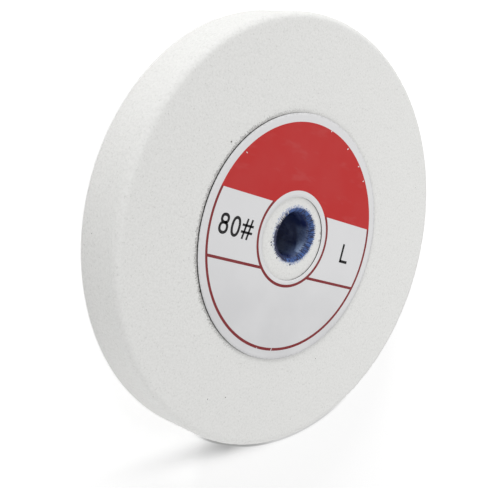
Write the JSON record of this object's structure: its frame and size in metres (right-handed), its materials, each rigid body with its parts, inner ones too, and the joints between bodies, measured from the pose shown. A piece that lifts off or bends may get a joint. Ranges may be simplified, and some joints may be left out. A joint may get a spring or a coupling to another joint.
{
  "type": "bench grinding wheel",
  "caption": "Straight white grinding wheel with flat sides, a plastic-lined bore with flared ends, and a round red and white paper label on one side.",
  "frame": {"origin": "on the wheel's axis, in the plane of the back face that the wheel lies on", "axes": "+Z along the wheel's axis, out of the labelled face; +X to the right and +Y up in the label's print"},
  "size_m": [0.2, 0.2, 0.0255],
  "materials": {
    "abrasive": "rough, open grain",
    "lining": "glossy bore, rough flared ends",
    "label": "smooth printed card"
  },
  "bodies": {
    "root": {"abrasive_wheel": "abrasive", "bore_bush": "lining", "paper_label": "label"}
  },
  "joints": []
}
